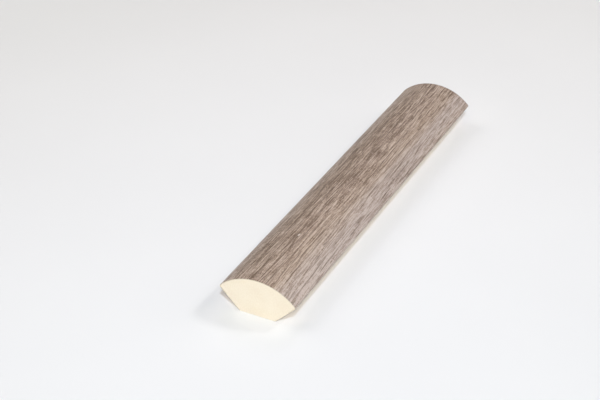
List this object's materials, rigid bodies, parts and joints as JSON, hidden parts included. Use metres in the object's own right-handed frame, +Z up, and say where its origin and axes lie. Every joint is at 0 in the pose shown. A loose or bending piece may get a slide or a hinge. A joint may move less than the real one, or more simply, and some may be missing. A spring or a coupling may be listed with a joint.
{
  "type": "quarter round moulding",
  "caption": "Short cut length of quarter round moulding with a back chamfer: a pale core wrapped over its curve and nosed tips in a grey-brown wood-grain film.",
  "frame": {"origin": "middle of the back chamfer, the flat that the piece lies on", "axes": "+X along the length, away from the end that faces the camera in the picture; +Y to that end's left; +Z up, out through the crown of the curve"},
  "size_m": [0.15, 0.0276, 0.0139],
  "materials": {
    "core": "pale, fine and even, with no grain, saw cut at the ends",
    "decor_film": "satin grey-brown wood-grain print, lightly embossed"
  },
  "bodies": {
    "root": {"core": "core", "decor_film": "decor_film"}
  },
  "joints": []
}
